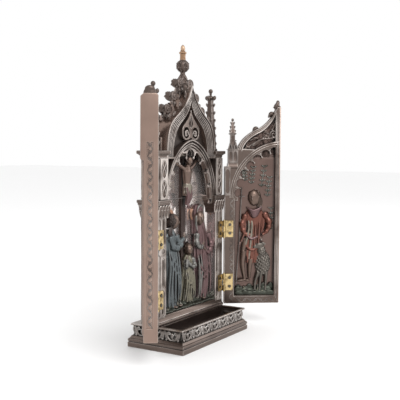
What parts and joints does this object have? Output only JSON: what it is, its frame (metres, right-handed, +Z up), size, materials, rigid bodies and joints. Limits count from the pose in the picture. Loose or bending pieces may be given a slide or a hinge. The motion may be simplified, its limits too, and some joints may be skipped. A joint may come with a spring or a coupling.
{
  "type": "hinged triptych altarpiece",
  "caption": "Tabletop gothic triptych: carved shrine on an open tray base, with hinged relief wings that close over the niche.",
  "frame": {"origin": "centre of the base's underside", "axes": "+Z up, front of the shrine towards -Y, +X to the right as seen from the front"},
  "size_m": [0.2254, 0.0807, 0.2868],
  "materials": {
    "bronze_resin": "cast resin with an antiqued bronze finish, dark in the hollows and rubbed light on the edges",
    "hinge_brass": "aged satin brass",
    "screw_metal": "darkened steel"
  },
  "bodies": {
    "stand": {"base_tray": "bronze_resin", "shrine": "bronze_resin", "left_lower_fixed_leaf": "hinge_brass", "left_lower_hinge_pin": "hinge_brass", "left_lower_fixed_screw_bottom": "screw_metal", "left_lower_fixed_screw_top": "screw_metal", "left_upper_fixed_leaf": "hinge_brass", "left_upper_hinge_pin": "hinge_brass", "left_upper_fixed_screw_bottom": "screw_metal", "left_upper_fixed_screw_top": "screw_metal", "right_lower_fixed_leaf": "hinge_brass", "right_lower_hinge_pin": "hinge_brass", "right_lower_fixed_screw_bottom": "screw_metal", "right_lower_fixed_screw_top": "screw_metal", "right_upper_fixed_leaf": "hinge_brass", "right_upper_hinge_pin": "hinge_brass", "right_upper_fixed_screw_bottom": "screw_metal", "right_upper_fixed_screw_top": "screw_metal"},
    "left_wing": {"left_wing": "bronze_resin", "left_lower_moving_leaf": "hinge_brass", "left_lower_moving_screw_bottom": "screw_metal", "left_lower_moving_screw_top": "screw_metal", "left_upper_moving_leaf": "hinge_brass", "left_upper_moving_screw_bottom": "screw_metal", "left_upper_moving_screw_top": "screw_metal"},
    "right_wing": {"right_wing": "bronze_resin", "right_lower_moving_leaf": "hinge_brass", "right_lower_moving_screw_bottom": "screw_metal", "right_lower_moving_screw_top": "screw_metal", "right_upper_moving_leaf": "hinge_brass", "right_upper_moving_screw_bottom": "screw_metal", "right_upper_moving_screw_top": "screw_metal"}
  },
  "joints": [
    {"name": "left_wing_swing", "type": "hinge", "parent": "stand", "child": "left_wing", "pos_m": [-0.0608, -0.003, 0.11], "axis": [0, 0, 1], "range_deg": [-33, 143.9]},
    {"name": "right_wing_swing", "type": "hinge", "parent": "stand", "child": "right_wing", "pos_m": [0.0608, -0.003, 0.11], "axis": [0, 0, 1], "range_deg": [-126.65, 50]}
  ]
}
